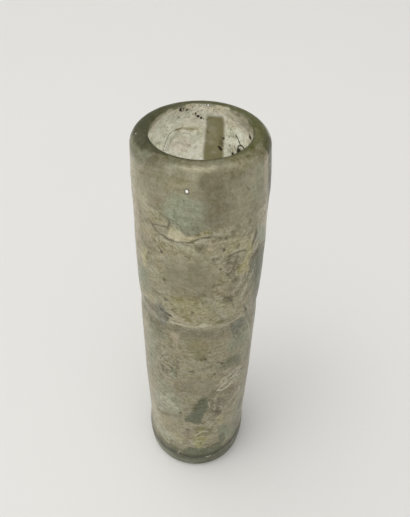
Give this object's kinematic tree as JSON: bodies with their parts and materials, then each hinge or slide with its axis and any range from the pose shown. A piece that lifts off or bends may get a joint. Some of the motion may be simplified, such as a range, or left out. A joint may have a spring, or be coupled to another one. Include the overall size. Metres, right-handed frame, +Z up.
{
  "type": "tubular glass vase",
  "caption": "Tall, narrow, cylindrical blown-glass vase with a thick in-turned lip, a waist, a swollen foot and a shallow push-up base; open and hollow.",
  "frame": {"origin": "centre of the underside, on the surface the vase stands on", "axes": "+Z up along the vase's axis to the mouth; -Y towards the side that shows the long wavy crack line; +X to that side's right"},
  "size_m": [0.0402, 0.04, 0.15],
  "materials": {
    "weathered_glass": "olive-brown glass under a matte, pitted, beige to pearly weathering film"
  },
  "bodies": {
    "root": {"glass_vase": "weathered_glass"}
  },
  "joints": []
}
